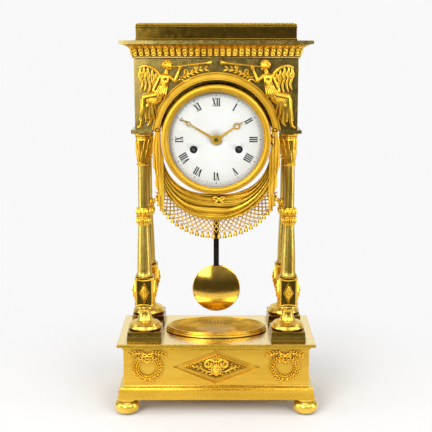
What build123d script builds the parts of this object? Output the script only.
from build123d import *
import math
import os

# Portico mantel clock in gilt bronze. Millimetres, +Z up, front towards -Y,
# origin on the floor under the middle of the base.

# Clearances shared by every fit
cut_over = 2.0
run_gap = 0.05
seat_gap = 0.3

# Movement plate, which the drum, the bezel, the arch and the whole portico are set out from
plate_r = 46.0
plate_ear_reach = 12.0
drum_wall = 1.5
drum_r = plate_r + plate_ear_reach + drum_wall
dial_gap = 0.6
dial_r = drum_r - drum_wall - dial_gap
bezel_overhang = 1.7
bezel_r = drum_r + bezel_overhang
bezel_width = 8.0
bezel_bore_r = bezel_r - bezel_width
glass_lap = 2.6
glass_rim_r = bezel_bore_r + glass_lap
arch_gap = 2.8
arch_r = bezel_r + arch_gap
column_stand = 19.5
column_x = arch_r + column_stand
plinth_block_half = 20.0
plate_margin = 11.5
plate_half_x = column_x + plinth_block_half + plate_margin
plinth_set_back = 1.0
plinth_half_x = plate_half_x - plinth_set_back
foot_inset = 9.0
foot_x = plinth_half_x - foot_inset

# Feet and base
foot_r = 15.0
foot_height = 19.1
foot_shares = [(0.6, 0.0), (1.0, 0.5, 0.6, 1.0)]
plinth_half_y = 57.0
foot_inset_y = 11.0
foot_y = plinth_half_y - foot_inset_y
plinth_height = 12.1
plinth_step = 1.5
plinth_floor = 3.0
ogee_height = 4.3
ogee_depth = 4.5
ogee_shares = [(0.0, 0.0), (0.1, 0.35, 0.5, 0.5), (0.9, 0.65, 1.0, 1.0)]
panel_thick = 3.5
base_half_x = plinth_half_x - plinth_step - ogee_depth
base_half_y = plinth_half_y - plinth_step - ogee_depth
base_height = 43.8
plate_over_y = 0.8
plate_half_y = plinth_half_y + plate_over_y
plate_height = 7.7
plate_depth = 5.5
plate_web = 3.0
plate_shares = [(1.0, 0.0), (0.9, 0.3, 0.5, 0.36), (0.5, 0.44), (0.0, 0.52), (0.0, 0.88), (0.14, 1.0)]
plate_pocket_margin = 8.0

# Applied ornaments of the base
plaque_half_x = 51.0
plaque_half_z = 20.5
plaque_thick = 1.2
plaque_frame_half_x = 39.5
plaque_frame_half_z = 15.5
plaque_frame_width = 3.0
plaque_frame_thick = 2.6
mask_half_x = 7.4
mask_half_z = 9.8
mask_relief = 4.0
scroll_r = 4.2
scroll_reach = 15.5
wreath_x = 80.0
wreath_r = 13.6
wreath_thick = 3.4
bow_r = 3.0
bow_reach = 4.6
palmette_lobe_half = 2.4
palmette_spread = 28.0
palmette_lobes = 5
base_palmette_height = 20.0
base_palmette_thick = 2.0
base_palmette_drop = 2.0
frieze_palmette_height = 27.0
frieze_palmette_thick = 5.0
frieze_palmette_drop = 4.0

# Oval dish
dish_half_x = 60.3
dish_half_y = 34.0
dish_height = 6.6
dish_y = -2.0
dish_outer_shares = [
    (0.97, 0.0), (0.985, 0.06), (1.0, 0.16), (1.0, 0.34), (0.985, 0.42), (0.968, 0.46), (0.984, 0.56), (0.984, 0.7),
    (0.955, 0.8), (0.955, 0.86), (0.966, 0.92), (0.966, 1.0),
]
dish_inner_shares = [(0.36, 0.2), (0.7, 0.3), (0.86, 0.52), (0.925, 0.86), (0.94, 1.0)]

# Columns
column_y = 32.0
plinth_block_height = 7.2
plinth_cap_half = 19.6
plinth_cap_height = 5.7
trumpet_r = 19.2
trumpet_height = 27.6
trumpet_shares = [
    (0.94, 0.0), (1.04, 0.09, 0.92, 0.18), (0.86, 0.2), (0.84, 0.24), (0.45, 0.34, 0.34, 0.6),
    (0.35, 0.8, 0.46, 0.88), (0.51, 0.9), (0.51, 1.0),
]
pedestal_half = 10.4
pedestal_chamfer = 2.2
pedestal_height = 34.5
lozenge_half_w = 6.2
lozenge_half_h = 12.7
lozenge_thick = 4.0
lozenge_slope = 38
lower_shaft_r = 8.25
lower_shaft_top_r = 6.3
lower_shaft_height = 61.0
collar_r = 8.9
collar_height = 20.3
collar_shares = [
    (0.72, 0.0), (0.9, 0.16, 0.96, 0.36), (0.86, 0.4), (0.86, 0.44), (1.0, 0.46), (1.0, 0.53), (0.84, 0.55),
    (1.04, 0.74, 0.92, 0.93), (0.78, 0.95), (0.74, 1.0),
]
upper_shaft_r = 5.85
upper_shaft_height = 48.7
capital_r = 9.4
capital_height = 37.0
capital_shares = [
    (0.68, 0.0), (0.78, 0.02, 0.7, 0.05), (0.66, 0.06), (0.82, 0.4, 0.9, 0.8), (0.82, 0.84), (0.82, 0.88), (1.0, 0.91),
    (1.0, 1.0),
]
rod_r = 2.5
nut_r = 3.9
nut_height = 4.0
nut_sides = 6
rod_end = 1.5

# Entablature
slab_half_x = 12.0
slab_half_y = 44.0
slab_height = 4.0
frieze_shoulder = 27.0
frieze_half_x = arch_r + frieze_shoulder
frieze_half_y = 40.0
arch_cover = 15.0
frieze_height = arch_r + arch_cover
arch_above_slab = -8.5
soffit_thick = 2.0
soffit_floor = 2.5
archivolt_width = 8.5
archivolt_relief = 2.5
archivolt_shares = [
    (0.0, 0.0), (0.0, 0.6), (0.12, 0.6), (0.24, 1.0, 0.36, 0.6), (0.42, 0.6), (0.42, 0.8), (0.8, 0.8), (0.9, 1.0),
    (1.0, 1.0), (1.0, 0.0),
]
cornice_overhang = 15.0
cornice_half_x = frieze_half_x + cornice_overhang
cornice_height = 19.4
cornice_depth = 14.0
cornice_web = 3.4
cornice_pocket_margin = 7.0
cornice_shares = [
    (1.0, 0.0), (0.92, 0.06, 1.0, 0.12), (0.94, 0.14), (0.86, 0.55, 0.3, 0.77), (0.24, 0.78), (0.0, 0.8), (0.0, 1.0),
]
cornice_half_y = frieze_half_y + cornice_half_x - frieze_half_x
attic_set_back = 1.6
attic_half_x = frieze_half_x - attic_set_back
attic_half_y = frieze_half_y - attic_set_back
attic_height = 19.0
attic_depth = 3.2
attic_wall = 3.0
attic_shares = [(0.0, 0.0), (0.0, 0.09), (0.2, 0.11), (0.2, 0.72), (0.06, 0.74), (0.06, 0.78), (1.0, 1.0)]

# Winged figures in the spandrels, as shares of the spandrel panel
figure_head_r = 4.6
figure_limb_r = 3.2
figure_body_r = 5.2
figure_foot_r = 1.8
figure_hip_r = 4.6
figure_hand_r = 1.5
trumpet_mouth_r = 0.8
trumpet_bell_r = 2.6
feather_half = 3.0
feather_thick = 2.0
figure_head_share = (0.59, 0.9)
figure_chest_share = (0.64, 0.74)
figure_hip_share = (0.72, 0.49)
figure_knee_share = (0.79, 0.34)
figure_foot_share = (0.88, 0.05)
figure_elbow_share = (0.5, 0.69)
figure_hand_share = (0.42, 0.86)
figure_mouth_share = (0.55, 0.9)
figure_bell_share = (0.07, 0.95)
feather_root_share = (0.66, 0.72)
feather_tip_shares = [(0.84, 0.9), (0.92, 0.82), (0.945, 0.6)]

# Dial, bezel and drum
dial_above_slab = -10.5
drum_front_y = -42.2
drum_rear_y = 40.0
drum_flange_width = 6.5
drum_flange_r = drum_r + drum_flange_width
drum_flange_thick = 2.2
drum_seat_width = 3.5
drum_seat_thick = 2.0
rod_slot_half_x = 13.0
rod_slot_half_y = 5.0
dial_thick = 1.8
dial_crown = 1.6
dial_hole_r = 3.7
dial_foot_r = 1.2
dial_foot_inset = 7.4
dial_foot_at = dial_r - dial_foot_inset
wind_x = 25.4
wind_drop = 11.3
wind_hole_r = 4.35
bezel_front_y = -51.6
glass_rim_y = -48.0
glass_thick = 1.2
glass_crown = 3.5
hinge_stand = 2.0
hinge_x = bezel_r + hinge_stand
hinge_y = -48.0
hinge_r = 1.2
hinge_pin_r = 0.7
knuckle_height = 4.0
hinge_arm_half = 0.7
door_lap = 1.5
door_r = drum_r + door_lap
door_thick = 2.0
door_dish = 2.0
door_hinge_stand = 2.6
door_hinge_x = -door_r - door_hinge_stand
door_knob_r = 3.0
door_knob_height = 5.0
door_hinge_lift = 2.2

# Drapery hung under the bezel
swag_back_y = -40.7
swag_reach = 4.2
swag_edge_x = bezel_r + swag_reach
swag_overhang = 7.3
swag_edge_r = bezel_r + swag_overhang
swag_edge_drop = 23.5
swag_inner_gap = 0.5
swag_inner_rise = 4.4
swag_end_thick = 1.6
swag_end_extra = 1.3
swag_fold_relief = 2.6
swag_end_relief = 0.5
swag_folds = 6
swag_stations = 13
swag_half_angle = 82
net_depth = 14.0
net_thick = 1.2
net_y = -41.1
net_edge = 1.0
net_strand = 1.0
net_gap = 0.3
net_columns = 28
net_rows = 2
net_half_angle = 62
tassel_r = 1.9
tassel_height = 7.4
tassel_shares = [(0.4, 0.0), (0.9, 0.1), (0.62, 0.62), (0.9, 0.7, 0.5, 0.86), (0.3, 1.0)]
rosette_r = 3.7
rosette_stand = 4.2
rosette_x = bezel_r + rosette_stand
rosette_thick = 3.4
tail_width = 12.6
tail_length = 95.0
tail_lap = 2.4
tail_x = bezel_r - tail_lap
tail_neck_gap = 3.7
tail_neck_x = bezel_r + tail_neck_gap
tail_neck_width = 3.2
tail_neck = 18.5
tail_gather = 34.0
tail_thick = 2.0
tail_back_y = -44.6
tail_fold_relief = 1.4
tail_folds = 3
tail_notch = 12.0

# Movement plates
train_plate_thick = 2.2
front_plate_y = -33.0
back_plate_y = -1.0
plate_ear_half = 5.0
pillar_r = 3.0
pillar_inset = 4.2
pillar_angles = [-65.9, -121.4, 44.0, 136.0]
arbor_r = 1.0
centre_arbor_r = 1.3
wind_arbor_r = 2.4
wind_square_half = 1.7
wind_square_end_y = -41.5
ratchet_r = 6.0
ratchet_thick = 1.4
ratchet_teeth = 18
ratchet_y = -35.2

# Toothed wheels
pressure_angle = 25
tooth_share = 0.43
addendum_share = 0.7
dedendum_share = 1.1
wheel_thick = 1.3
pinion_over = 0.6
spoke_width = 2.2
wheel_rim = 2.0
wheel_hub = 3.4
spoke_count = 4
great_teeth = 60
great_pinion = 10
great_module = 0.6
great_wheel_y = -8.0
great_wheel_thick = 2.4
barrel_r = 15.5
barrel_wall = 1.2
barrel_front_y = -25.5
spring_thick = 0.5
spring_turns = 4
spring_steps = 14
second_teeth = 60
second_pinion = 10
second_module = 0.5
second_wheel_y = -30.0
strike_second_y = -27.9
centre_teeth = 80
third_pinion = 8
centre_module = 0.4
centre_wheel_y = -3.6
third_teeth = 80
escape_pinion = 8
third_module = 0.33
third_wheel_y = -16.0
third_angle = 128
escape_teeth = 38
escape_r = 9.5
escape_root_r = 8.0
escape_lean = 6
escape_wheel_y = -22.0
cannon_teeth = 12
minute_teeth = 36
cannon_module = 0.5
minute_pinion = 10
hour_teeth = 40
hour_module = 2 * cannon_module * (cannon_teeth + minute_teeth) / (2 * (minute_pinion + hour_teeth))
minute_wheel_y = -36.0
hour_wheel_y = -39.6
pipe_wall = 0.8
cannon_front_y = -47.0
hour_pipe_front_y = -45.4
hand_thick = 0.8
hand_hub_r = 5.4
hour_hub_r = 5.0
minute_length = 48.0
minute_width = 2.0
minute_ring_r = 2.4
minute_ring_share = 0.8
hour_length = 37.0
hour_width = 2.4
hour_ring_r = 3.2
hour_ring_share = 0.72
minute_points_at = 60
hour_points_at = 56

# Strike work
pin_teeth = 56
locking_pinion = 8
pin_module = 0.36
pin_wheel_y = -4.3
strike_pin_r = 0.5
strike_pin_at = 8.0
strike_pin_count = 8
strike_pin_length = 1.2
locking_teeth = 48
fly_pinion = 8
locking_module = 0.36
locking_wheel_y = -20.0
pin_angle = -36
locking_angle = -130
fly_angle = 180
fly_half = 5.0
fly_thick = 0.6
fly_y = -15.0
fly_length = 9.0
count_r = 13.0
count_notch = 1.4
count_notches = 12
count_y = 2.6
hammer_x = 21.0
hammer_z = -33.0
hammer_tail = 4.0
hammer_tail_half = 0.9
hammer_head_x = 34.7
hammer_head_z = -12.0
hammer_head_r = 2.2
hammer_head_length = 8.0
hammer_arm_r = 0.9
hammer_y = 17.0
bell_r = 33.0
bell_depth = 16.0
bell_wall = 1.6
bell_rim_y = 14.0
bell_drop = 2.0
bell_hole_r = 1.6
bell_neck_share = 0.96
bell_skirt_share = 0.35
bell_post_x = -37.0
bell_post_z = -20.0
bell_post_r = 2.0
bell_arm_half = 2.2
bell_arm_thick = 2.0

# Escapement and pendulum
suspension_above_dial = 41.5
pallet_gap = 0.8
pallet_width = 2.2
pallet_thick = 1.6
pallet_angle = 42
anchor_arm = 2.4
crutch_y = 1.9
crutch_thick = 1.1
crutch_half = 1.0
crutch_length = 34.0
fork_half_z = 1.5
fork_wall = 1.2
fork_gap = 0.35
pendulum_y = 8.0
cock_half_x = 4.5
cock_cheek = 2.0
cock_rise = 4.0
cock_foot = 2.4
suspension_pin_r = 0.8
strip_half_x = 0.25
strip_half_y = 2.0
strip_length = 13.0
rod_half_x = 3.2
rod_half_y = 1.2
bob_r = 28.8
bob_half_y = 5.6
bob_z = 136.6
bob_rim = 1.0
rating_nut_r = 2.4
rating_nut_height = 3.0
rating_nut_drop = 12.0

# Heights, each standing on the one before
plinth_top = foot_height + plinth_height
ogee_top = plinth_top + ogee_height
base_top = ogee_top + base_height
plate_top = base_top + plate_height
trumpet_z = plate_top + plinth_block_height + plinth_cap_height
pedestal_z = trumpet_z + trumpet_height
lower_shaft_z = pedestal_z + pedestal_height
collar_z = lower_shaft_z + lower_shaft_height
upper_shaft_z = collar_z + collar_height
capital_z = upper_shaft_z + upper_shaft_height
slab_z = capital_z + capital_height
frieze_z = slab_z + slab_height
cornice_z = frieze_z + frieze_height
attic_z = cornice_z + cornice_height
arch_z = frieze_z + arch_above_slab
dial_z = frieze_z + dial_above_slab
suspension_z = dial_z + suspension_above_dial
base_middle = ogee_top + base_height / 2

# Arbor places across the plates, measured from the middle of the dial
going_at = (wind_x, -wind_drop)
strike_at = (-wind_x, -wind_drop)
centre_at = (0.0, 0.0)
minute_at = (0.0, -cannon_module * (cannon_teeth + minute_teeth) / 2)
pallet_at = (0.0, suspension_above_dial)
hammer_at = (hammer_x, hammer_z)


def polar(start, distance, angle):
    """Place at a distance and an angle in degrees from another."""
    turn = math.radians(angle)
    return (start[0] + distance * math.cos(turn), start[1] + distance * math.sin(turn))


def meeting(first, first_distance, second, second_distance, side):
    """Place at given distances from two others, on the left (1) or right (-1) of the line between them."""
    span = math.dist(first, second)
    along = (first_distance**2 - second_distance**2 + span**2) / (2 * span)
    off = side * math.sqrt(first_distance**2 - along**2)
    ux = (second[0] - first[0]) / span
    uz = (second[1] - first[1]) / span
    return (first[0] + along * ux - off * uz, first[1] + along * uz + off * ux)


def centres(module, wheel, pinion):
    """Distance between a wheel and the pinion that it meshes with."""
    return module * (wheel + pinion) / 2


great_span = centres(great_module, great_teeth, great_pinion)
second_span = centres(second_module, second_teeth, second_pinion)
second_at = meeting(centre_at, second_span, going_at, great_span, 1)
third_at = polar(centre_at, centres(centre_module, centre_teeth, third_pinion), third_angle)
third_span = centres(third_module, third_teeth, escape_pinion)
escape_at = (0.0, third_at[1] + math.sqrt(third_span**2 - third_at[0] ** 2))
strike_second_at = meeting(centre_at, second_span, strike_at, great_span, 1)
pin_at = polar(strike_second_at, second_span, pin_angle)
locking_at = polar(pin_at, centres(pin_module, pin_teeth, locking_pinion), locking_angle)
fly_at = polar(locking_at, centres(locking_module, locking_teeth, fly_pinion), fly_angle)


def closed_face(plane, start, steps):
    """Face from a start and steps: two numbers make a straight run, four an arc through a middle point."""
    edges = []
    here = start
    for step in list(steps) + [start]:
        there = tuple(step[-2:])
        ends = [plane.from_local_coords((*here, 0)), plane.from_local_coords((*there, 0))]
        if len(step) == 4:
            edges.append(ThreePointArc(ends[0], plane.from_local_coords((*step[:2], 0)), ends[1]))
        else:
            edges.append(Line(*ends))
        here = there
    face = make_face(edges).face()
    return face if face.normal_at().dot(plane.z_dir) > 0 else -face


def cap_drop(radius, crown):
    """Drop from the crown of a round cap to its surface at half its radius."""
    ball_r = (radius**2 + crown**2) / (2 * crown)
    return ball_r - math.sqrt(ball_r**2 - (radius / 2) ** 2)


def scaled(shares, across, up, base=0.0):
    """Outline steps from shares of a width and a height above a base."""
    steps = []
    for share in shares:
        step = [across * value if i % 2 == 0 else base + up * value for i, value in enumerate(share)]
        steps.append(tuple(step))
    return steps


def turned(shares, radius, height, base=0.0):
    """Turned piece on the Z axis from shares of its radius and height."""
    steps = scaled(shares, radius, height, base) + [(0.0, base + height)]
    return revolve(closed_face(Plane.XZ, (0.0, base), steps), Axis.Z)


def moulded_face(plane, half, base, height, depth, shares):
    """Cross-section of a moulded block, with shares of the moulding's depth inwards and of the height."""
    right = [tuple(half - depth * v if i % 2 == 0 else base + height * v for i, v in enumerate(s)) for s in shares]
    face = closed_face(plane, (0.0, base), right + [(0.0, base + height)])
    return face


def moulded_block(half_x, half_y, base, height, depth, shares):
    """Block whose edge moulding runs round all four sides with mitred corners."""
    across = extrude(moulded_face(Plane.XZ, half_x, base, height, depth, shares), half_y + cut_over, both=True)
    along = extrude(moulded_face(Plane.YZ, half_y, base, height, depth, shares), half_x + cut_over, both=True)
    across = across + mirror(across, about=Plane.YZ)
    along = along + mirror(along, about=Plane.XZ)
    return across & along


def block(low, high):
    """Box between two corners."""
    size = [high[i] - low[i] for i in range(3)]
    return Pos(*low) * Box(*size, align=(Align.MIN, Align.MIN, Align.MIN))


def rod_along_y(place, radius, front, rear):
    """Round bar through a place on the plates, from one depth to another."""
    plane = Plane((place[0], front, dial_z + place[1]), x_dir=(1, 0, 0), z_dir=(0, 1, 0))
    return plane * Cylinder(radius, rear - front, align=(Align.CENTER, Align.CENTER, Align.MIN))


def front_plane(y, x=0.0, z=0.0):
    """Plane facing the front at a depth, with its local axes along X and Z."""
    return Plane((x, y, z), x_dir=(1, 0, 0), z_dir=(0, -1, 0))


def at_columns(piece):
    """The four copies of a column piece."""
    return [Pos(sx * column_x, sy * column_y, 0) * piece for sx in (-1, 1) for sy in (-1, 1)]


def bored(piece, low, high):
    """A column piece with the hole for its tie rod."""
    hole = Pos(0, 0, low - cut_over) * Cylinder(
        rod_r + seat_gap, high - low + 2 * cut_over, align=(Align.CENTER, Align.CENTER, Align.MIN)
    )
    return piece - hole


def make_bun_feet():
    foot = turned(foot_shares, foot_r, foot_height)
    return [Pos(sx * foot_x, sy * foot_y, 0) * foot for sx in (-1, 1) for sy in (-1, 1)]


def make_base_plinth():
    low = block((-plinth_half_x, -plinth_half_y, foot_height), (plinth_half_x, plinth_half_y, plinth_top))
    ogee = moulded_block(
        plinth_half_x - plinth_step, plinth_half_y - plinth_step, plinth_top, ogee_height, ogee_depth, ogee_shares
    )
    inner_x = base_half_x - panel_thick
    inner_y = base_half_y - panel_thick
    pocket = block((-inner_x, -inner_y, foot_height + plinth_floor), (inner_x, inner_y, ogee_top + cut_over))
    return [low + ogee - pocket]


def make_base_panels():
    inner_y = base_half_y - panel_thick
    front = block((-base_half_x, -base_half_y, ogee_top), (base_half_x, -inner_y, base_top))
    side = block((base_half_x - panel_thick, -inner_y, ogee_top), (base_half_x, inner_y, base_top))
    return [front, mirror(front, about=Plane.XZ), side, mirror(side, about=Plane.YZ)]


def make_base_top_plate():
    plate = moulded_block(plate_half_x, plate_half_y, base_top, plate_height, plate_depth, plate_shares)
    pocket_x = base_half_x - plate_pocket_margin
    pocket_y = base_half_y - plate_pocket_margin
    plate -= block((-pocket_x, -pocket_y, base_top - cut_over), (pocket_x, pocket_y, plate_top - plate_web))
    for hole in at_columns(Cylinder(rod_r + seat_gap, 2 * plate_top)):
        plate -= hole
    return [plate]


def rhombus(plane, half_x, half_z):
    """Lozenge face with its long axes along the plane's own."""
    return closed_face(plane, (-half_x, 0.0), [(0.0, -half_z), (half_x, 0.0), (0.0, half_z)])


def make_base_plaque():
    plane = front_plane(-base_half_y, 0.0, base_middle)
    plaque = extrude(rhombus(plane, plaque_half_x, plaque_half_z), plaque_thick)
    shrink = 1 - plaque_frame_width * math.hypot(1 / plaque_frame_half_x, 1 / plaque_frame_half_z)
    frame = rhombus(plane, plaque_frame_half_x, plaque_frame_half_z)
    frame -= rhombus(plane, plaque_frame_half_x * shrink, plaque_frame_half_z * shrink)
    plaque += extrude(frame, plaque_frame_thick)
    mask = plane * scale(Sphere(1), by=(mask_half_x, mask_half_z, mask_relief))
    plaque += mask
    for side in (-1, 1):
        plaque += plane * Pos(side * scroll_reach, 0, 0) * Sphere(scroll_r * plaque_frame_thick / plaque_frame_width)
    return [plaque & front_half(-base_half_y)]


def front_half(y):
    """Everything in front of a depth."""
    reach = plate_half_x
    return block((-reach, y - reach, 0), (reach, y, attic_z + attic_height))


def make_base_wreaths():
    plane = front_plane(-base_half_y, wreath_x, base_middle)
    wreath = plane * Torus(wreath_r, wreath_thick)
    for side in (-1, 1):
        wreath += plane * Pos(side * bow_reach, wreath_r + wreath_thick, 0) * Torus(bow_r, bow_r / 3)
    wreath += plane * Pos(0, wreath_r + wreath_thick, 0) * Sphere(bow_r * 2 / 3)
    wreath = wreath & front_half(-base_half_y)
    return [wreath, mirror(wreath, about=Plane.YZ)]


def palmette(plane, height, thick):
    """Fan of leaf lobes that rises from the plane's origin."""
    fan = None
    for i in range(palmette_lobes):
        lean = palmette_spread * (i - (palmette_lobes - 1) / 2)
        half = height / 2 * math.cos(math.radians(lean)) ** 0.5
        lobe = Rot(0, 0, lean) * Pos(0, half, 0) * extrude(Ellipse(palmette_lobe_half, half), thick)
        fan = lobe if fan is None else fan + lobe
    return plane * fan


def make_side_ornaments():
    base_foot = base_top - base_palmette_drop - base_palmette_height
    frieze_foot = cornice_z - frieze_palmette_drop - frieze_palmette_height
    pieces = []
    for half_x, foot, height, thick in (
        (base_half_x, base_foot, base_palmette_height, base_palmette_thick),
        (frieze_half_x, frieze_foot, frieze_palmette_height, frieze_palmette_thick),
    ):
        piece = palmette(Plane((half_x, 0, foot), x_dir=(0, 1, 0), z_dir=(1, 0, 0)), height, thick)
        pieces += [piece, mirror(piece, about=Plane.YZ)]
    return pieces


def oval_stack(shares, base):
    """Stack of oval sections joined by straight flanks."""
    sections = [
        Pos(0, dish_y, base + dish_height * up) * Ellipse(dish_half_x * across, dish_half_y * across)
        for across, up in shares
    ]
    return loft(sections, ruled=True)


def make_oval_dish():
    return [oval_stack(dish_outer_shares, plate_top) - oval_stack(dish_inner_shares, plate_top)]


def make_column_bases():
    cap_z = plate_top + plinth_block_height
    foot = block((-plinth_block_half, -plinth_block_half, plate_top), (plinth_block_half, plinth_block_half, cap_z))
    foot += block((-plinth_cap_half, -plinth_cap_half, cap_z), (plinth_cap_half, plinth_cap_half, trumpet_z))
    foot += turned(trumpet_shares, trumpet_r, trumpet_height, trumpet_z)
    return at_columns(bored(foot, plate_top, pedestal_z))


def make_column_pedestals():
    die = block((-pedestal_half, -pedestal_half, pedestal_z), (pedestal_half, pedestal_half, lower_shaft_z))
    die = chamfer(die.edges().filter_by(Axis.Z), pedestal_chamfer)
    return at_columns(bored(die, pedestal_z, lower_shaft_z))


def make_pedestal_lozenges():
    plane = front_plane(-pedestal_half, 0.0, pedestal_z + pedestal_height / 2)
    boss = extrude(rhombus(plane, lozenge_half_w, lozenge_half_h), lozenge_thick, taper=lozenge_slope)
    return [piece for turn in range(4) for piece in at_columns(Rot(0, 0, turn * 90) * boss)]


def make_column_shafts():
    low = Pos(0, 0, lower_shaft_z) * Cone(
        lower_shaft_r, lower_shaft_top_r, lower_shaft_height, align=(Align.CENTER, Align.CENTER, Align.MIN)
    )
    high = Pos(0, 0, upper_shaft_z) * Cylinder(
        upper_shaft_r, upper_shaft_height, align=(Align.CENTER, Align.CENTER, Align.MIN)
    )
    return at_columns(bored(low, lower_shaft_z, collar_z)) + at_columns(bored(high, upper_shaft_z, capital_z))


def make_shaft_collars():
    return at_columns(bored(turned(collar_shares, collar_r, collar_height, collar_z), collar_z, upper_shaft_z))


def make_capitals():
    return at_columns(bored(turned(capital_shares, capital_r, capital_height, capital_z), capital_z, slab_z))


def make_tie_rods():
    low_seat = plate_top - plate_web
    high_seat = frieze_z + soffit_floor
    low = low_seat - nut_height - rod_end
    high = high_seat + nut_height + rod_end
    upright = (Align.CENTER, Align.CENTER, Align.MIN)
    rod = Pos(0, 0, low) * Cylinder(rod_r, high - low, align=upright)
    nut = extrude(RegularPolygon(nut_r, nut_sides), nut_height) - Cylinder(rod_r + run_gap, 3 * nut_height)
    nuts = at_columns(Pos(0, 0, low_seat - nut_height) * nut) + at_columns(Pos(0, 0, high_seat) * nut)
    return at_columns(rod) + nuts


def make_architrave_slabs():
    slab = block(
        (column_x - slab_half_x, -slab_half_y, slab_z), (column_x + slab_half_x, slab_half_y, frieze_z)
    )
    for sy in (-1, 1):
        slab -= Pos(column_x, sy * column_y, slab_z) * Cylinder(rod_r + seat_gap, 4 * slab_height)
    return [slab, mirror(slab, about=Plane.YZ)]


def drum_ring(outer, inner, front, rear, height=dial_z):
    """Ring round a Y axis at a height, between two depths."""
    plane = Plane((0, front, height), x_dir=(1, 0, 0), z_dir=(0, 1, 0))
    upright = (Align.CENTER, Align.CENTER, Align.MIN)
    ring = Cylinder(outer, rear - front, align=upright)
    if inner:
        ring -= Pos(0, 0, -cut_over) * Cylinder(inner, rear - front + 2 * cut_over, align=upright)
    return plane * ring


def above_slab():
    """Everything above the architrave slabs."""
    reach = plate_half_x
    return block((-reach, -reach, frieze_z), (reach, reach, cornice_z))


def make_frieze_panels():
    inner_y = frieze_half_y - panel_thick
    front = block((-frieze_half_x, -frieze_half_y, frieze_z), (frieze_half_x, -inner_y, cornice_z))
    rear = mirror(front, about=Plane.XZ)
    front -= drum_ring(arch_r, 0, -frieze_half_y - cut_over, -inner_y + cut_over, arch_z)
    rear -= drum_ring(drum_r + run_gap, 0, inner_y - cut_over, frieze_half_y + cut_over)
    side = block((frieze_half_x - panel_thick, -inner_y, frieze_z), (frieze_half_x, inner_y, cornice_z))
    return [front, rear, side, mirror(side, about=Plane.YZ)]


def make_arch_soffit():
    inner_y = frieze_half_y - panel_thick
    arch = drum_ring(arch_r + soffit_thick, arch_r, -inner_y, inner_y, arch_z) & above_slab()
    floor = block(
        (arch_r, -inner_y, frieze_z), (frieze_half_x - panel_thick, inner_y, frieze_z + soffit_floor)
    )
    for sy in (-1, 1):
        floor -= Pos(column_x, sy * column_y, frieze_z) * Cylinder(rod_r + seat_gap, 4 * soffit_floor)
    return [arch + floor + mirror(floor, about=Plane.YZ)]


def make_archivolt():
    steps = scaled(archivolt_shares, archivolt_width, -archivolt_relief, -frieze_half_y)
    steps = [tuple(arch_r + v if i % 2 == 0 else v for i, v in enumerate(step)) for step in steps]
    face = closed_face(Plane((0, 0, arch_z)), steps[0], steps[1:])
    return [revolve(face, Axis((0, 0, arch_z), (0, 1, 0))) & above_slab()]


def make_cornice():
    cornice = moulded_block(cornice_half_x, cornice_half_y, cornice_z, cornice_height, cornice_depth, cornice_shares)
    pocket_x = frieze_half_x - cornice_pocket_margin
    pocket_y = frieze_half_y - cornice_pocket_margin
    pocket = block(
        (-pocket_x, -pocket_y, cornice_z - cut_over), (pocket_x, pocket_y, attic_z - cornice_web)
    )
    return [cornice - pocket]


def make_attic():
    attic = moulded_block(attic_half_x, attic_half_y, attic_z, attic_height, attic_depth, attic_shares)
    inner_x = attic_half_x - attic_depth - attic_wall
    inner_y = attic_half_y - attic_depth - attic_wall
    inside = block((-inner_x, -inner_y, attic_z - cut_over), (inner_x, inner_y, attic_z + attic_height - attic_wall))
    return [attic - inside]


def limb(start, end, start_r, end_r):
    """Rounded tapering bar between two places on the frieze."""
    first = Vector(start[0], -frieze_half_y, start[1])
    last = Vector(end[0], -frieze_half_y, end[1])
    along = last - first
    bar = Plane(first, z_dir=along) * Cone(
        start_r, end_r, along.length, align=(Align.CENTER, Align.CENTER, Align.MIN)
    )
    return Pos(*first) * Sphere(start_r) + bar + Pos(*last) * Sphere(end_r)


def spandrel(share):
    """Place on the right spandrel from shares of the frieze's half width and height."""
    return (frieze_half_x * share[0], frieze_z + frieze_height * share[1])


def feather(tip_share):
    """One flat feather from the wing's root to a tip."""
    root = spandrel(feather_root_share)
    tip = spandrel(tip_share)
    half = math.dist(root, tip) / 2
    lean = math.degrees(math.atan2(tip[1] - root[1], tip[0] - root[0]))
    plane = front_plane(-frieze_half_y, (root[0] + tip[0]) / 2, (root[1] + tip[1]) / 2)
    return plane * Rot(0, 0, lean) * extrude(Ellipse(half, feather_half), feather_thick)


def make_spandrel_figures():
    head = spandrel(figure_head_share)
    chest = spandrel(figure_chest_share)
    hip = spandrel(figure_hip_share)
    knee = spandrel(figure_knee_share)
    elbow = spandrel(figure_elbow_share)
    hand = spandrel(figure_hand_share)
    figure = Pos(head[0], -frieze_half_y, head[1]) * Sphere(figure_head_r)
    figure += limb(head, chest, figure_foot_r, figure_limb_r)
    figure += limb(chest, hip, figure_body_r, figure_hip_r)
    figure += limb(hip, knee, figure_hip_r, figure_limb_r)
    figure += limb(knee, spandrel(figure_foot_share), figure_limb_r, figure_foot_r)
    figure += limb(chest, elbow, figure_limb_r, figure_foot_r)
    figure += limb(elbow, hand, figure_foot_r, figure_hand_r)
    figure += limb(spandrel(figure_mouth_share), spandrel(figure_bell_share), trumpet_mouth_r, trumpet_bell_r)
    for tip_share in feather_tip_shares:
        figure += feather(tip_share)
    front = front_half(-frieze_half_y) & above_slab()
    arch = drum_ring(arch_r + archivolt_width, 0, -frieze_half_y - plate_half_x, -frieze_half_y, arch_z)
    figure = (figure & front) - arch
    return [figure, mirror(figure, about=Plane.YZ)]


def around_dial(angle, radius, y):
    """Point at an angle from straight down, a radius and a depth round the dial."""
    turn = math.radians(angle)
    return (radius * math.sin(turn), y, dial_z - radius * math.cos(turn))


def swag_outer(angle):
    """Radius of the cloth's lower edge at an angle from straight down."""
    turn = math.radians(abs(angle))
    round_edge = swag_edge_drop * math.cos(turn) + math.sqrt(
        swag_edge_r**2 - (swag_edge_drop * math.sin(turn)) ** 2
    )
    if turn == 0:
        return round_edge
    return min(round_edge, swag_edge_x / math.sin(turn))


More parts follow.
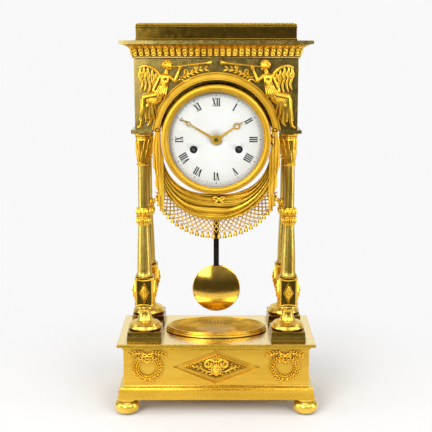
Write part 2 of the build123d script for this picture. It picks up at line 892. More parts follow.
def swag_inner(angle):
    """Radius of the cloth's upper edge, which dips away from the bezel on each side."""
    dip = math.sin(math.radians(abs(angle) * 2))
    return bezel_r + swag_inner_gap + swag_inner_rise * dip**2


def swag_section(angle):
    """Folded section of the cloth at an angle from straight down."""
    inner = swag_inner(angle)
    outer = swag_outer(angle)
    fullness = math.cos(math.radians(angle * 90 / swag_half_angle)) ** 2
    relief = swag_end_relief + (swag_fold_relief - swag_end_relief) * fullness
    points = [around_dial(angle, inner, swag_back_y), around_dial(angle, outer, swag_back_y)]
    count = 2 * swag_folds
    for i in range(count + 1):
        radius = outer + (inner - outer) * i / count
        proud = swag_end_thick + swag_end_extra * (1 - fullness) + (relief if i % 2 else 0.0)
        points.append(around_dial(angle, radius, swag_back_y - proud))
    return make_face(Polyline(*points, close=True))


def make_drapery_swag():
    half = swag_stations // 2
    angles = [swag_half_angle * (i - half) / half for i in range(swag_stations)]
    return [loft([swag_section(angle) for angle in angles], ruled=True)]


def net_point(angle, down):
    """Point of the net at an angle about the cloth's own centre and a depth below its edge."""
    radius = swag_edge_r + down
    turn = math.radians(angle)
    return (radius * math.sin(turn), dial_z - swag_edge_drop - radius * math.cos(turn))


def make_fringe_net():
    plane = front_plane(net_y)
    top = net_gap
    low, high = -net_half_angle, net_half_angle
    outline = [
        (*net_point(0, top), *net_point(high, top)),
        net_point(high, net_depth),
        (*net_point(0, net_depth), *net_point(low, net_depth)),
    ]
    net = extrude(closed_face(plane, net_point(low, top), outline), net_thick)
    step = (high - low) / net_columns
    rise = (net_depth - 2 * net_edge) / net_rows
    strand = math.degrees(net_strand / swag_edge_r)
    holes = []
    for row in range(2 * net_rows - 1):
        middle = net_edge + rise * (row + 1) / 2
        half = rise / 2 - net_strand / 2
        for column in range(net_columns - row % 2):
            angle = low + step * (column + 0.5 + (row % 2) / 2)
            wide = step / 2 - strand
            corners = [
                net_point(angle - wide, middle), net_point(angle, middle - half),
                net_point(angle + wide, middle), net_point(angle, middle + half),
            ]
            holes.append(extrude(closed_face(plane, corners[0], corners[1:]), net_thick))
    tassels = []
    for column in range(net_columns):
        x, z = net_point(low + step * (column + 0.5), net_depth)
        tassel = turned(tassel_shares, tassel_r, tassel_height, -tassel_height)
        tassels.append(Pos(x, net_y - net_thick / 2, z) * tassel)
    return [net - holes] + tassels


def make_drapery_tails():
    left = tail_x
    right = tail_x + tail_width
    neck_right = tail_neck_x + tail_neck_width
    bottom = frieze_z - tail_length
    gather = frieze_z - tail_gather
    plane = front_plane(tail_back_y)
    outline = [
        (neck_right, frieze_z),
        (neck_right, frieze_z - tail_neck),
        (right, gather),
        (right, bottom + tail_notch),
        (right - tail_width / tail_folds, bottom + tail_notch / 2),
        (right - tail_width / 2, bottom),
        (left, bottom + tail_notch),
        (left, gather),
        (tail_neck_x, frieze_z - tail_neck),
    ]
    tail = extrude(closed_face(plane, (tail_neck_x, frieze_z), outline), tail_thick)
    long = (tail_length - tail_gather) / 2 - tail_notch / 2
    middle = gather - long
    for fold in range(tail_folds):
        x = left + tail_width * (fold + 0.5) / tail_folds
        ridge = front_plane(tail_back_y - tail_thick, x, middle)
        tail += extrude(rhombus(ridge, tail_width / tail_folds * 0.4, long), tail_fold_relief)
    rosette = drum_ring(rosette_r, 0, tail_back_y - rosette_thick, -frieze_half_y - archivolt_relief)
    tail += Pos(rosette_x, 0, frieze_z - dial_z) * rosette
    return [tail, mirror(tail, about=Plane.YZ)]


def knuckles(x, y, levels):
    """Hinge knuckles bored for their pin at the given levels from the middle of the dial."""
    pieces = []
    for level in levels:
        base = dial_z + level * knuckle_height - knuckle_height / 2 + run_gap
        height = knuckle_height - 2 * run_gap
        upright = (Align.CENTER, Align.CENTER, Align.MIN)
        tube = Cylinder(hinge_r, height, align=upright) - Cylinder(hinge_pin_r + run_gap, 3 * height)
        pieces.append(Pos(x, y, base) * tube)
    return pieces


def hinge_arm(x_low, x_high, y_low, y_high, level):
    """Flat arm that carries one knuckle."""
    base = dial_z + level * knuckle_height - knuckle_height / 2 + run_gap
    return block((x_low, y_low, base), (x_high, y_high, base + knuckle_height - 2 * run_gap))


def pin_hole(x, y):
    """Hole for a hinge pin through every knuckle."""
    return Pos(x, y, dial_z) * Cylinder(hinge_pin_r + run_gap, 6 * knuckle_height)


door_hinge_y = drum_rear_y + drum_flange_thick + seat_gap + door_hinge_lift


def make_drum():
    drum = drum_ring(drum_r, drum_r - drum_wall, drum_front_y, drum_rear_y)
    seat_y = front_plate_y + train_plate_thick
    seat = drum_ring(drum_r - drum_wall, drum_r - drum_wall - drum_seat_width, seat_y, seat_y + drum_seat_thick)
    flange_rear = drum_rear_y + drum_flange_thick
    drum += seat
    drum += drum_ring(drum_flange_r, drum_r - drum_wall, drum_rear_y, flange_rear)
    drum -= block(
        (-rod_slot_half_x, pendulum_y - rod_slot_half_y, dial_z - drum_r - cut_over),
        (rod_slot_half_x, pendulum_y + rod_slot_half_y, dial_z - drum_r / 2),
    )
    arm_x = hinge_x - hinge_r + hinge_arm_half
    for level in (-1, 1):
        drum += hinge_arm(arm_x - hinge_arm_half, arm_x + hinge_arm_half, hinge_y, drum_front_y, level)
        foot_x_low = math.sqrt((drum_r - drum_wall / 2) ** 2 - (1.5 * knuckle_height) ** 2)
        drum += hinge_arm(foot_x_low, arm_x + hinge_arm_half, drum_front_y, drum_front_y + drum_wall, level)
        drum += hinge_arm(door_hinge_x - hinge_r, door_hinge_x + hinge_r, drum_rear_y, door_hinge_y, level)
    for piece in knuckles(hinge_x, hinge_y, (-1, 1)) + knuckles(door_hinge_x, door_hinge_y, (-1, 1)):
        drum += piece
    return [drum - pin_hole(hinge_x, hinge_y) - pin_hole(door_hinge_x, door_hinge_y)]


def make_dial():
    front_y = drum_front_y
    drop = cap_drop(dial_r, dial_crown)
    steps = [
        (dial_r / 2, front_y - dial_crown + drop, dial_r, front_y), (dial_r, front_y + dial_thick),
        (dial_r / 2, front_y + dial_thick - dial_crown + drop, 0.0, front_y + dial_thick - dial_crown),
    ]
    face = closed_face(Plane((0, 0, dial_z)), (0.0, front_y - dial_crown), steps)
    dial = revolve(face, Axis((0, 0, dial_z), (0, 1, 0)))
    for turn in (90, 215, 325):
        dial += rod_along_y(polar(centre_at, dial_foot_at, turn), dial_foot_r, front_y + dial_thick / 2, front_plate_y)
    far = front_y - dial_crown - cut_over
    dial -= rod_along_y(centre_at, dial_hole_r, far, front_plate_y)
    for place in (going_at, strike_at):
        dial -= rod_along_y(place, wind_hole_r, far, front_plate_y)
    return [dial]


def make_bezel():
    back = drum_front_y - seat_gap
    steps = [
        (bezel_r, back), (bezel_r, bezel_front_y * 0.55 + back * 0.45),
        (bezel_r - (bezel_r - bezel_bore_r) * 0.1, bezel_front_y * 0.93 + back * 0.07,
         bezel_r - (bezel_r - bezel_bore_r) * 0.4, bezel_front_y),
        (bezel_bore_r + (bezel_r - bezel_bore_r) * 0.25, bezel_front_y * 0.96 + back * 0.04,
         bezel_bore_r, glass_rim_y * 0.5 + bezel_front_y * 0.5),
        (bezel_bore_r, glass_rim_y), (glass_rim_r, glass_rim_y), (glass_rim_r, back * 0.7 + glass_rim_y * 0.3),
        (dial_r, back),
    ]
    bezel = revolve(closed_face(Plane((0, 0, dial_z)), steps[0], steps[1:]), Axis((0, 0, dial_z), (0, 1, 0)))
    lug_x = bezel_r - (bezel_r - bezel_bore_r) * 0.25
    bezel += hinge_arm(lug_x, hinge_x, hinge_y, hinge_y + hinge_r, 0)
    bezel += knuckles(hinge_x, hinge_y, (0,))[0]
    return [bezel - pin_hole(hinge_x, hinge_y)]


def make_bezel_glass():
    rim_r = glass_rim_r - run_gap
    dome_r = bezel_bore_r - seat_gap
    drop = cap_drop(dome_r, glass_crown)
    front = glass_rim_y
    back = glass_rim_y + glass_thick
    steps = [
        (dome_r / 2, front - glass_crown + drop, dome_r, front), (rim_r, front), (rim_r, back), (dome_r, back),
        (dome_r / 2, back - glass_crown + drop, 0.0, back - glass_crown),
    ]
    face = closed_face(Plane((0, 0, dial_z)), (0.0, front - glass_crown), steps)
    return [revolve(face, Axis((0, 0, dial_z), (0, 1, 0)))]


def make_hinge_pins():
    pin = Cylinder(hinge_pin_r, 3 * knuckle_height)
    return [Pos(hinge_x, hinge_y, dial_z) * pin, Pos(door_hinge_x, door_hinge_y, dial_z) * pin]


def make_rear_door():
    front = drum_rear_y + drum_flange_thick + seat_gap
    rear = front + door_thick
    rim = door_r * 0.9
    drop = cap_drop(rim, door_dish)
    steps = [
        (door_r, front),
        (door_r, rear),
        (rim, rear),
        (rim / 2, rear + door_dish - drop, 0.0, rear + door_dish),
        (0.0, front + door_dish),
        (rim / 2, front + door_dish - drop, rim, front),
    ]
    door = revolve(closed_face(Plane((0, 0, dial_z)), steps[0], steps[1:]), Axis((0, 0, dial_z), (0, 1, 0)))
    knob = (door_r * 0.9 - door_knob_r, 0.0)
    door += rod_along_y(knob, door_knob_r, front + door_thick / 2, front + door_thick + door_knob_height)
    door += hinge_arm(door_hinge_x, -door_r * 0.96, front, front + door_thick, 0)
    door += knuckles(door_hinge_x, door_hinge_y, (0,))[0]
    return [door - pin_hole(door_hinge_x, door_hinge_y)]


def involute(angle):
    """Involute function of an angle in radians."""
    return math.tan(angle) - angle


def gear_face(place, teeth, module, phase, flank_points):
    """Toothed outline at a place on the plates, with a tooth's middle at the phase in degrees."""
    pitch_r = module * teeth / 2
    base_r = pitch_r * math.cos(math.radians(pressure_angle))
    root_r = pitch_r - dedendum_share * module
    tip_r = pitch_r + addendum_share * module
    half_pitch = math.pi * tooth_share / teeth
    points = []
    for tooth in range(teeth):
        middle = math.radians(phase) + 2 * math.pi * tooth / teeth
        flank = []
        for i in range(flank_points):
            radius = root_r + (tip_r - root_r) * i / (flank_points - 1)
            slope = math.acos(min(1.0, base_r / radius))
            half = half_pitch + involute(math.radians(pressure_angle)) - involute(slope)
            flank.append((radius, half))
        points += [(r * math.cos(middle - h), r * math.sin(middle - h)) for r, h in flank]
        points += [(r * math.cos(middle + h), r * math.sin(middle + h)) for r, h in reversed(flank)]
    plane = front_plane(0.0, place[0], dial_z + place[1])
    return closed_face(plane, points[0], points[1:])


def toothed(place, teeth, module, phase, front, thick, flank_points=2):
    """Solid toothed disc from a depth backwards."""
    return Pos(0, front, 0) * extrude(gear_face(place, teeth, module, phase, flank_points), -thick)


def crossed_out(wheel, place, rim_r, front, thick):
    """Wheel with its windows cut out between spokes."""
    window = rod_along_y(place, rim_r - wheel_rim, front - cut_over, front + thick + cut_over)
    window -= rod_along_y(place, wheel_hub, front - 2 * cut_over, front + thick + 2 * cut_over)
    middle = front_plane(front + thick / 2, place[0], dial_z + place[1])
    for spoke in range(spoke_count // 2):
        bar = Box(2 * rim_r, spoke_width, 4 * thick + 4 * cut_over)
        window -= middle * Rot(0, 0, spoke * 360 / spoke_count) * bar
    return wheel - window


def train_wheel(place, teeth, module, phase, front):
    """Crossed-out train wheel."""
    wheel = toothed(place, teeth, module, phase, front, wheel_thick)
    return crossed_out(wheel, place, module * teeth / 2 - dedendum_share * module, front, wheel_thick)


def pinion(place, leaves, module, phase, wheel_front, thick):
    """Leaved pinion, a little wider than the wheel that it meshes with."""
    return toothed(place, leaves, module, phase, wheel_front - pinion_over, thick + 2 * pinion_over, 3)


def bearing(place_a, place_b):
    """Angle in degrees from one place to another."""
    return math.degrees(math.atan2(place_b[1] - place_a[1], place_b[0] - place_a[0]))


def mesh_phase(place_a, teeth_a, phase_a, place_b, teeth_b):
    """Phase that sets a gap of the second wheel on the first one's tooth."""
    line = bearing(place_a, place_b)
    offset = (line - phase_a) * teeth_a / 360
    return line + 180 + (offset + 0.5) * 360 / teeth_b


plates_rear_y = back_plate_y + train_plate_thick


def arbor(place, radius=arbor_r, front=front_plate_y, rear=plates_rear_y):
    """Arbor pivoted in both plates."""
    return rod_along_y(place, radius, front, rear)


great_phase = 0.0
second_pinion_phase = mesh_phase(going_at, great_teeth, great_phase, second_at, great_pinion)
second_phase = 0.0
centre_pinion_phase = mesh_phase(second_at, second_teeth, second_phase, centre_at, second_pinion)
centre_phase = 0.0
third_pinion_phase = mesh_phase(centre_at, centre_teeth, centre_phase, third_at, third_pinion)
third_phase = 0.0
escape_pinion_phase = mesh_phase(third_at, third_teeth, third_phase, escape_at, escape_pinion)
cannon_phase = 0.0
minute_phase = mesh_phase(centre_at, cannon_teeth, cannon_phase, minute_at, minute_teeth)
minute_pinion_phase = 0.0
hour_phase = mesh_phase(minute_at, minute_pinion, minute_pinion_phase, centre_at, hour_teeth)
strike_pinion_phase = mesh_phase(strike_at, great_teeth, great_phase, strike_second_at, great_pinion)
strike_second_phase = 0.0
pin_pinion_phase = mesh_phase(strike_second_at, second_teeth, strike_second_phase, pin_at, second_pinion)
pin_phase = 0.0
locking_pinion_phase = mesh_phase(pin_at, pin_teeth, pin_phase, locking_at, locking_pinion)
locking_phase = 0.0
fly_pinion_phase = mesh_phase(locking_at, locking_teeth, locking_phase, fly_at, fly_pinion)


def train_plate(front):
    """Round plate with the holes that its arbors run in."""
    plate = drum_ring(plate_r, 0, front, front + train_plate_thick)
    small = [second_at, third_at, escape_at, pallet_at, strike_second_at, pin_at, locking_at, fly_at, hammer_at]
    holes = [(place, arbor_r) for place in small] + [(centre_at, centre_arbor_r)]
    holes += [(going_at, wind_arbor_r), (strike_at, wind_arbor_r)]
    for place, radius in holes:
        plate -= rod_along_y(place, radius + run_gap, front - cut_over, front + train_plate_thick + cut_over)
    return plate


def make_front_plate():
    plate = train_plate(front_plate_y)
    ear_reach = drum_r - drum_wall - run_gap
    rear = front_plate_y + train_plate_thick
    for ear in (0, 90):
        bar = front_plane((front_plate_y + rear) / 2, 0.0, dial_z) * Rot(0, 0, ear + 45) * Box(
            2 * ear_reach, 2 * plate_ear_half, train_plate_thick
        )
        bar -= drum_ring(plate_r, 0, front_plate_y - cut_over, rear + cut_over)
        plate += bar & drum_ring(ear_reach, 0, front_plate_y, rear)
    plate += rod_along_y(minute_at, arbor_r, hour_wheel_y - 2 * pinion_over, front_plate_y)
    return [plate]


def make_back_plate():
    plate = train_plate(back_plate_y)
    for angle in pillar_angles:
        place = polar(centre_at, plate_r - pillar_inset, angle)
        plate += rod_along_y(place, pillar_r, front_plate_y + train_plate_thick, back_plate_y)
    return [plate]


def make_barrel(place):
    """Spring barrel with its great wheel, open inside for the mainspring."""
    rear = great_wheel_y + great_wheel_thick
    barrel = rod_along_y(place, barrel_r, barrel_front_y, great_wheel_y)
    barrel += toothed(place, great_teeth, great_module, great_phase, great_wheel_y, great_wheel_thick)
    barrel -= rod_along_y(place, barrel_r - barrel_wall, barrel_front_y + barrel_wall, great_wheel_y)
    return [barrel - rod_along_y(place, wind_arbor_r + run_gap, barrel_front_y - cut_over, rear + cut_over)]


def make_winding_arbor(place):
    """Winding arbor with its key square and ratchet."""
    bar = rod_along_y(place, wind_arbor_r, ratchet_y, plates_rear_y)
    plane = front_plane(wind_square_end_y, place[0], dial_z + place[1])
    bar += plane * Pos(0, 0, (wind_square_end_y - ratchet_y) / 2) * Box(
        2 * wind_square_half, 2 * wind_square_half, ratchet_y - wind_square_end_y
    )
    teeth = []
    for tooth in range(ratchet_teeth):
        start = 2 * math.pi * tooth / ratchet_teeth
        end = 2 * math.pi * (tooth + 1) / ratchet_teeth
        inner = ratchet_r * 0.84
        teeth += [(ratchet_r * math.cos(start), ratchet_r * math.sin(start)), (inner * math.cos(end), inner * math.sin(end))]
    ratchet = closed_face(front_plane(ratchet_y, place[0], dial_z + place[1]), teeth[0], teeth[1:])
    return [bar + extrude(ratchet, -ratchet_thick)]


def make_mainspring(place):
    """Flat spiral spring wound between the arbor and the barrel's wall."""
    start_r = wind_arbor_r + seat_gap
    end_r = barrel_r - barrel_wall - seat_gap - spring_thick
    count = spring_turns * spring_steps
    outer, inner = [], []
    for i in range(count + 1):
        turn = 2 * math.pi * i / spring_steps
        radius = start_r + (end_r - start_r) * i / count
        inner.append((radius * math.cos(turn), radius * math.sin(turn)))
        outer.append(((radius + spring_thick) * math.cos(turn), (radius + spring_thick) * math.sin(turn)))
    front = barrel_front_y + barrel_wall + seat_gap
    points = inner + list(reversed(outer))
    face = closed_face(front_plane(front, place[0], dial_z + place[1]), points[0], points[1:])
    return extrude(face, -(great_wheel_y - seat_gap - front))


def make_mainsprings():
    return [make_mainspring(going_at), make_mainspring(strike_at)]


def make_second_wheel():
    wheel = train_wheel(second_at, second_teeth, second_module, second_phase, second_wheel_y)
    leaves = pinion(second_at, great_pinion, great_module, second_pinion_phase, great_wheel_y, great_wheel_thick)
    return [wheel + leaves + arbor(second_at)]


def make_centre_wheel():
    wheel = train_wheel(centre_at, centre_teeth, centre_module, centre_phase, centre_wheel_y)
    leaves = pinion(centre_at, second_pinion, second_module, centre_pinion_phase, second_wheel_y, wheel_thick)
    return [wheel + leaves + arbor(centre_at, centre_arbor_r, cannon_front_y)]


def make_third_wheel():
    wheel = train_wheel(third_at, third_teeth, third_module, third_phase, third_wheel_y)
    leaves = pinion(third_at, third_pinion, centre_module, third_pinion_phase, centre_wheel_y, wheel_thick)
    return [wheel + leaves + arbor(third_at)]


def make_escape_wheel():
    points = []
    for tooth in range(escape_teeth):
        middle = 360 * tooth / escape_teeth
        points += [polar((0.0, 0.0), escape_root_r, middle), polar((0.0, 0.0), escape_r, middle + escape_lean)]
    face = closed_face(front_plane(escape_wheel_y, 0.0, dial_z + escape_at[1]), points[0], points[1:])
    wheel = crossed_out(extrude(face, -wheel_thick), escape_at, escape_root_r, escape_wheel_y, wheel_thick)
    leaves = pinion(escape_at, escape_pinion, third_module, escape_pinion_phase, third_wheel_y, wheel_thick)
    return [wheel + leaves + arbor(escape_at)]


def make_pallet_anchor():
    """Anchor, arbor and crutch, whose fork goes round the pendulum rod."""
    rear = crutch_y + crutch_thick
    anchor = arbor(pallet_at, arbor_r, front_plate_y, rear)
    thick_y = escape_wheel_y + wheel_thick
    span = escape_r + pallet_gap
    for side in (-1, 1):
        tip = polar(escape_at, span + pallet_width / 2, 90 + side * pallet_angle)
        pad_plane = front_plane((escape_wheel_y + thick_y) / 2, tip[0], dial_z + tip[1])
        pad = pad_plane * Rot(0, 0, side * pallet_angle) * Box(pallet_thick, pallet_width, wheel_thick)
        arm_length = math.dist(pallet_at, tip)
        middle = ((pallet_at[0] + tip[0]) / 2, (pallet_at[1] + tip[1]) / 2)
        arm_plane = front_plane((escape_wheel_y + thick_y) / 2, middle[0], dial_z + middle[1])
        arm = arm_plane * Rot(0, 0, bearing(pallet_at, tip)) * Box(arm_length, anchor_arm, wheel_thick)
        anchor += pad
        anchor += arm - rod_along_y(escape_at, span, escape_wheel_y - cut_over, thick_y + cut_over)
    fork_x = rod_half_x + fork_gap
    fork_z = suspension_z - crutch_length
    anchor += block((-crutch_half, crutch_y, fork_z), (crutch_half, rear, suspension_z))
    anchor += block((-fork_x - fork_wall, crutch_y, fork_z - fork_half_z), (fork_x + fork_wall, rear, fork_z + fork_half_z))
    for side in (-1, 1):
        inner, outer = sorted((side * fork_x, side * (fork_x + fork_wall)))
        prong_end = pendulum_y + rod_half_y
        anchor += block((inner, crutch_y, fork_z - fork_half_z), (outer, prong_end, fork_z + fork_half_z))
    return [anchor]


def make_cannon_pinion():
    outer = centre_arbor_r + run_gap + pipe_wall
    pipe = rod_along_y(centre_at, outer, cannon_front_y, minute_wheel_y + wheel_thick + pinion_over)
    pipe += pinion(centre_at, cannon_teeth, cannon_module, cannon_phase, minute_wheel_y, wheel_thick)
    return [pipe - rod_along_y(centre_at, centre_arbor_r + run_gap, cannon_front_y - cut_over, front_plate_y)]


def make_minute_wheel():
    wheel = toothed(minute_at, minute_teeth, cannon_module, minute_phase, minute_wheel_y, wheel_thick)
    leaves = pinion(minute_at, minute_pinion, hour_module, minute_pinion_phase, hour_wheel_y, wheel_thick)
    hub_r = hour_module * minute_pinion / 2 - dedendum_share * hour_module
    hub = rod_along_y(minute_at, hub_r, hour_wheel_y, minute_wheel_y + wheel_thick)
    hole = rod_along_y(minute_at, arbor_r + run_gap, hour_wheel_y - 2 * cut_over, front_plate_y)
    return [wheel + leaves + hub - hole]


hour_bore_r = centre_arbor_r + 2 * run_gap + pipe_wall


def make_hour_wheel():
    wheel = toothed(centre_at, hour_teeth, hour_module, hour_phase, hour_wheel_y, wheel_thick)
    wheel += rod_along_y(centre_at, hour_bore_r + pipe_wall, hour_pipe_front_y, hour_wheel_y + wheel_thick)
    return [wheel - rod_along_y(centre_at, hour_bore_r, cannon_front_y, front_plate_y)]


def hand_blade(front, length, width, hub_r, bore_r, ring_r, ring_share, points_at):
    """Tapering hand with a pierced ring near its tip, turned left from twelve by an angle."""
    plane = front_plane(front, 0.0, dial_z)
    outline = [(width * 0.7, 0.0), (width * 0.35, length * ring_share), (0.0, length), (-width * 0.35, length * ring_share)]
    blade = extrude(closed_face(Plane.XY, (-width * 0.7, 0.0), outline), -hand_thick)
    low = (Align.CENTER, Align.CENTER, Align.MAX)
    blade += Cylinder(hub_r, hand_thick, align=low)
    blade += Pos(0, length * ring_share, 0) * Cylinder(ring_r, hand_thick, align=low)
    blade -= Pos(0, length * ring_share, 0) * Cylinder(ring_r * 0.55, 4 * hand_thick)
    blade -= Cylinder(bore_r, 4 * hand_thick)
    return plane * Rot(0, 0, points_at) * blade


def make_minute_hand():
    bore = centre_arbor_r + run_gap + pipe_wall + run_gap
    return [
        hand_blade(
            cannon_front_y, minute_length, minute_width, hand_hub_r, bore, minute_ring_r, minute_ring_share,
            minute_points_at,
        )
    ]


def make_hour_hand():
    bore = hour_bore_r + pipe_wall + run_gap
    return [
        hand_blade(
            hour_pipe_front_y, hour_length, hour_width, hour_hub_r, bore, hour_ring_r, hour_ring_share, -hour_points_at
        )
    ]


def make_strike_second_wheel():
    """Strike wheel with the notched count wheel on its arbor behind the plate."""
    wheel = train_wheel(strike_second_at, second_teeth, second_module, strike_second_phase, strike_second_y)
    leaves = pinion(
        strike_second_at, great_pinion, great_module, strike_pinion_phase, great_wheel_y, great_wheel_thick
    )
    count = rod_along_y(strike_second_at, count_r, count_y, count_y + wheel_thick)
    gap_angle = 0.0
    for hour in range(count_notches):
        gap_angle += 360 * (hour + 3) / (count_notches * (count_notches + 5) / 2)
        notch_plane = front_plane(count_y + wheel_thick / 2, strike_second_at[0], dial_z + strike_second_at[1])
        count -= notch_plane * Rot(0, 0, gap_angle) * Pos(count_r, 0, 0) * Box(2 * count_notch, count_notch, 4 * wheel_thick)
    bar = arbor(strike_second_at, arbor_r, front_plate_y, count_y + wheel_thick)
    return [wheel + leaves + bar + count]


def make_pin_wheel():
    wheel = train_wheel(pin_at, pin_teeth, pin_module, pin_phase, pin_wheel_y)
    leaves = pinion(pin_at, second_pinion, second_module, pin_pinion_phase, strike_second_y, wheel_thick)
    wheel += leaves + arbor(pin_at)
    for pin in range(strike_pin_count):
        place = polar(pin_at, strike_pin_at, 360 * pin / strike_pin_count)
        wheel += rod_along_y(place, strike_pin_r, pin_wheel_y, pin_wheel_y + wheel_thick + strike_pin_length)
    return [wheel]


def make_locking_wheel():
    wheel = train_wheel(locking_at, locking_teeth, locking_module, locking_phase, locking_wheel_y)
    leaves = pinion(locking_at, locking_pinion, pin_module, locking_pinion_phase, pin_wheel_y, wheel_thick)
    return [wheel + leaves + arbor(locking_at)]


def make_strike_fly():
    leaves = pinion(fly_at, fly_pinion, locking_module, fly_pinion_phase, locking_wheel_y, wheel_thick)
    blade = front_plane(fly_y + fly_length / 2, fly_at[0], dial_z + fly_at[1]) * Box(2 * fly_half, fly_thick, fly_length)
    return [leaves + blade + arbor(fly_at)]


def make_hammer():
    hammer = arbor(hammer_at, arbor_r, front_plate_y, hammer_y + 2 * hammer_arm_r)
    base = Vector(hammer_x, hammer_y, dial_z + hammer_z)
    tip = Vector(hammer_head_x, hammer_y, dial_z + hammer_head_z)
    along = tip - base
    hammer += Plane(base, z_dir=along) * Cylinder(
        hammer_arm_r, along.length, align=(Align.CENTER, Align.CENTER, Align.MIN)
    )
    head_front = hammer_y - hammer_head_length / 2
    hammer += rod_along_y((hammer_head_x, hammer_head_z), hammer_head_r, head_front, head_front + hammer_head_length)
    tail_front = pin_wheel_y + wheel_thick
    tail_plane = front_plane(tail_front + strike_pin_length / 2, hammer_x, dial_z + hammer_z)
    tail = Pos(hammer_tail / 2, 0, 0) * Box(hammer_tail, 2 * hammer_tail_half, strike_pin_length)
    return [hammer + tail_plane * Rot(0, 0, bearing(hammer_at, pin_at)) * tail]


def bell_face(radius, depth):
    """Half section of a bell with a straight skirt and a round crown."""
    neck_r = radius * bell_neck_share
    skirt_y = bell_rim_y + depth * bell_skirt_share
    crown_y = bell_rim_y + depth
    drop = cap_drop(neck_r, crown_y - skirt_y)
    steps = [(radius, bell_rim_y), (neck_r, skirt_y), (neck_r / 2, crown_y - drop, 0.0, crown_y)]
    return closed_face(Plane((0, 0, dial_z - bell_drop)), (0.0, bell_rim_y), steps)


def make_bell():
    outer = bell_face(bell_r, bell_depth)
    inner = bell_face(bell_r - bell_wall, bell_depth - bell_wall)
    axis = Axis((0, 0, dial_z - bell_drop), (0, 1, 0))
    bell = revolve(outer, axis) - revolve(inner, axis)
    return [bell - rod_along_y((0.0, -bell_drop), bell_hole_r + run_gap, bell_rim_y, drum_rear_y)]


def make_bell_stand():
    """Post on the back plate with an arm that carries the bell on a screw."""
    crown = bell_rim_y + bell_depth
    post_at = (bell_post_x, bell_post_z)
    bell_at = (0.0, -bell_drop)
    stand = rod_along_y(post_at, bell_post_r, plates_rear_y, crown + bell_arm_thick)
    middle = ((post_at[0] + bell_at[0]) / 2, (post_at[1] + bell_at[1]) / 2)
    arm_plane = front_plane(crown + bell_arm_thick / 2, middle[0], dial_z + middle[1])
    span = math.dist(post_at, bell_at)
    stand += arm_plane * Rot(0, 0, bearing(post_at, bell_at)) * Box(span, 2 * bell_arm_half, bell_arm_thick)
    stand += rod_along_y(bell_at, bell_arm_half, crown, crown + bell_arm_thick)
    stand += rod_along_y(bell_at, bell_hole_r, crown - 2 * bell_wall, crown)
    return [stand]


def make_suspension_cock():
    """Bracket on the back plate whose cheeks carry the suspension pin."""
    cheek_front = pendulum_y - strip_half_y - seat_gap
    cheek_rear = pendulum_y + strip_half_y + seat_gap
    low = suspension_z - cock_rise / 2
    high = suspension_z + cock_rise
    cock = block((-cock_half_x, plates_rear_y, high - cock_foot), (cock_half_x, cheek_rear + cock_cheek, high))
    cock += block((-cock_half_x, cheek_front - cock_cheek, low), (cock_half_x, cheek_front, high))
    cock += block((-cock_half_x, cheek_rear, low), (cock_half_x, cheek_rear + cock_cheek, high))
    return [cock - rod_along_y(pallet_at, suspension_pin_r + run_gap, plates_rear_y, drum_rear_y)]


def make_suspension_spring():
    bottom = suspension_z - strip_length
    strip = block(
        (-strip_half_x, pendulum_y - strip_half_y, bottom), (strip_half_x, pendulum_y + strip_half_y, suspension_z)
    )
    reach = strip_half_y + seat_gap + cock_cheek
    return [strip + rod_along_y(pallet_at, suspension_pin_r, pendulum_y - reach, pendulum_y + reach)]


nut_z = bob_z - rating_nut_drop


def make_pendulum_rod():
    top = suspension_z - strip_length
    rod = block((-rod_half_x, pendulum_y - rod_half_y, nut_z), (rod_half_x, pendulum_y + rod_half_y, top))
    screw = Pos(0, pendulum_y, nut_z) * Cylinder(
        rod_half_y, rating_nut_height + seat_gap, align=(Align.CENTER, Align.CENTER, Align.MAX)
    )
    return [rod + screw]


def make_pendulum_bob():
    front = pendulum_y - bob_half_y
    rear = pendulum_y + bob_half_y
    drop = cap_drop(bob_r, bob_half_y - bob_rim)
    steps = [
        (bob_r / 2, front + drop, bob_r, pendulum_y - bob_rim),
        (bob_r, pendulum_y + bob_rim),
        (bob_r / 2, rear - drop, 0.0, rear),
    ]
    axis = Axis((0, 0, bob_z), (0, 1, 0))
    bob = revolve(closed_face(Plane((0, 0, bob_z)), (0.0, front), steps), axis)
    half_x = rod_half_x + run_gap
    half_y = rod_half_y + run_gap
    nut_room = rating_nut_height + 2 * seat_gap
    bob -= block(
        (-half_x, pendulum_y - half_y, nut_z), (half_x, pendulum_y + half_y, bob_z + bob_r + cut_over)
    )
    room = rating_nut_r + seat_gap
    bob -= block(
        (-room, pendulum_y - room, nut_z - nut_room), (room, pendulum_y + bob_half_y + cut_over, nut_z)
    )
    return [bob]


def make_rating_nut():
    nut = Cylinder(rating_nut_r, rating_nut_height, align=(Align.CENTER, Align.CENTER, Align.MAX))
    nut -= Cylinder(rod_half_y + run_gap, 4 * rating_nut_height)
    return [Pos(0, pendulum_y, nut_z) * nut]


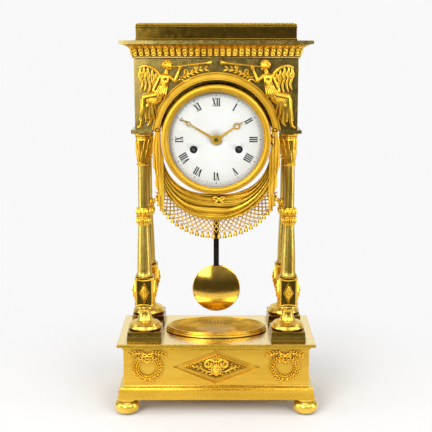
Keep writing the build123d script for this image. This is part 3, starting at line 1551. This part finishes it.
nodes = {
    "bun_feet": make_bun_feet,
    "base_plinth": make_base_plinth,
    "base_panels": make_base_panels,
    "base_top_plate": make_base_top_plate,
    "base_plaque": make_base_plaque,
    "base_wreaths": make_base_wreaths,
    "side_ornaments": make_side_ornaments,
    "oval_dish": make_oval_dish,
    "column_bases": make_column_bases,
    "column_pedestals": make_column_pedestals,
    "pedestal_lozenges": make_pedestal_lozenges,
    "column_shafts": make_column_shafts,
    "shaft_collars": make_shaft_collars,
    "capitals": make_capitals,
    "tie_rods": make_tie_rods,
    "architrave_slabs": make_architrave_slabs,
    "frieze_panels": make_frieze_panels,
    "arch_soffit": make_arch_soffit,
    "archivolt": make_archivolt,
    "cornice": make_cornice,
    "attic": make_attic,
    "spandrel_figures": make_spandrel_figures,
    "drapery_swag": make_drapery_swag,
    "fringe_net": make_fringe_net,
    "drapery_tails": make_drapery_tails,
    "drum": make_drum,
    "dial": make_dial,
    "bezel": make_bezel,
    "bezel_glass": make_bezel_glass,
    "hinge_pins": make_hinge_pins,
    "rear_door": make_rear_door,
    "front_plate": make_front_plate,
    "back_plate": make_back_plate,
    "going_barrel": lambda: make_barrel(going_at),
    "going_winding_arbor": lambda: make_winding_arbor(going_at),
    "mainsprings": make_mainsprings,
    "second_wheel": make_second_wheel,
    "centre_wheel": make_centre_wheel,
    "third_wheel": make_third_wheel,
    "escape_wheel": make_escape_wheel,
    "pallet_anchor": make_pallet_anchor,
    "cannon_pinion": make_cannon_pinion,
    "minute_wheel": make_minute_wheel,
    "hour_wheel": make_hour_wheel,
    "minute_hand": make_minute_hand,
    "hour_hand": make_hour_hand,
    "strike_barrel": lambda: make_barrel(strike_at),
    "strike_winding_arbor": lambda: make_winding_arbor(strike_at),
    "strike_second_wheel": make_strike_second_wheel,
    "pin_wheel": make_pin_wheel,
    "locking_wheel": make_locking_wheel,
    "strike_fly": make_strike_fly,
    "hammer": make_hammer,
    "bell": make_bell,
    "bell_stand": make_bell_stand,
    "suspension_cock": make_suspension_cock,
    "suspension_spring": make_suspension_spring,
    "pendulum_rod": make_pendulum_rod,
    "pendulum_bob": make_pendulum_bob,
    "rating_nut": make_rating_nut,
}

os.makedirs("parts", exist_ok=True)
for name, make in nodes.items():
    solids = [solid for piece in make() for solid in piece.solids()]
    export_step(Compound(children=solids), f"parts/{name}.step")
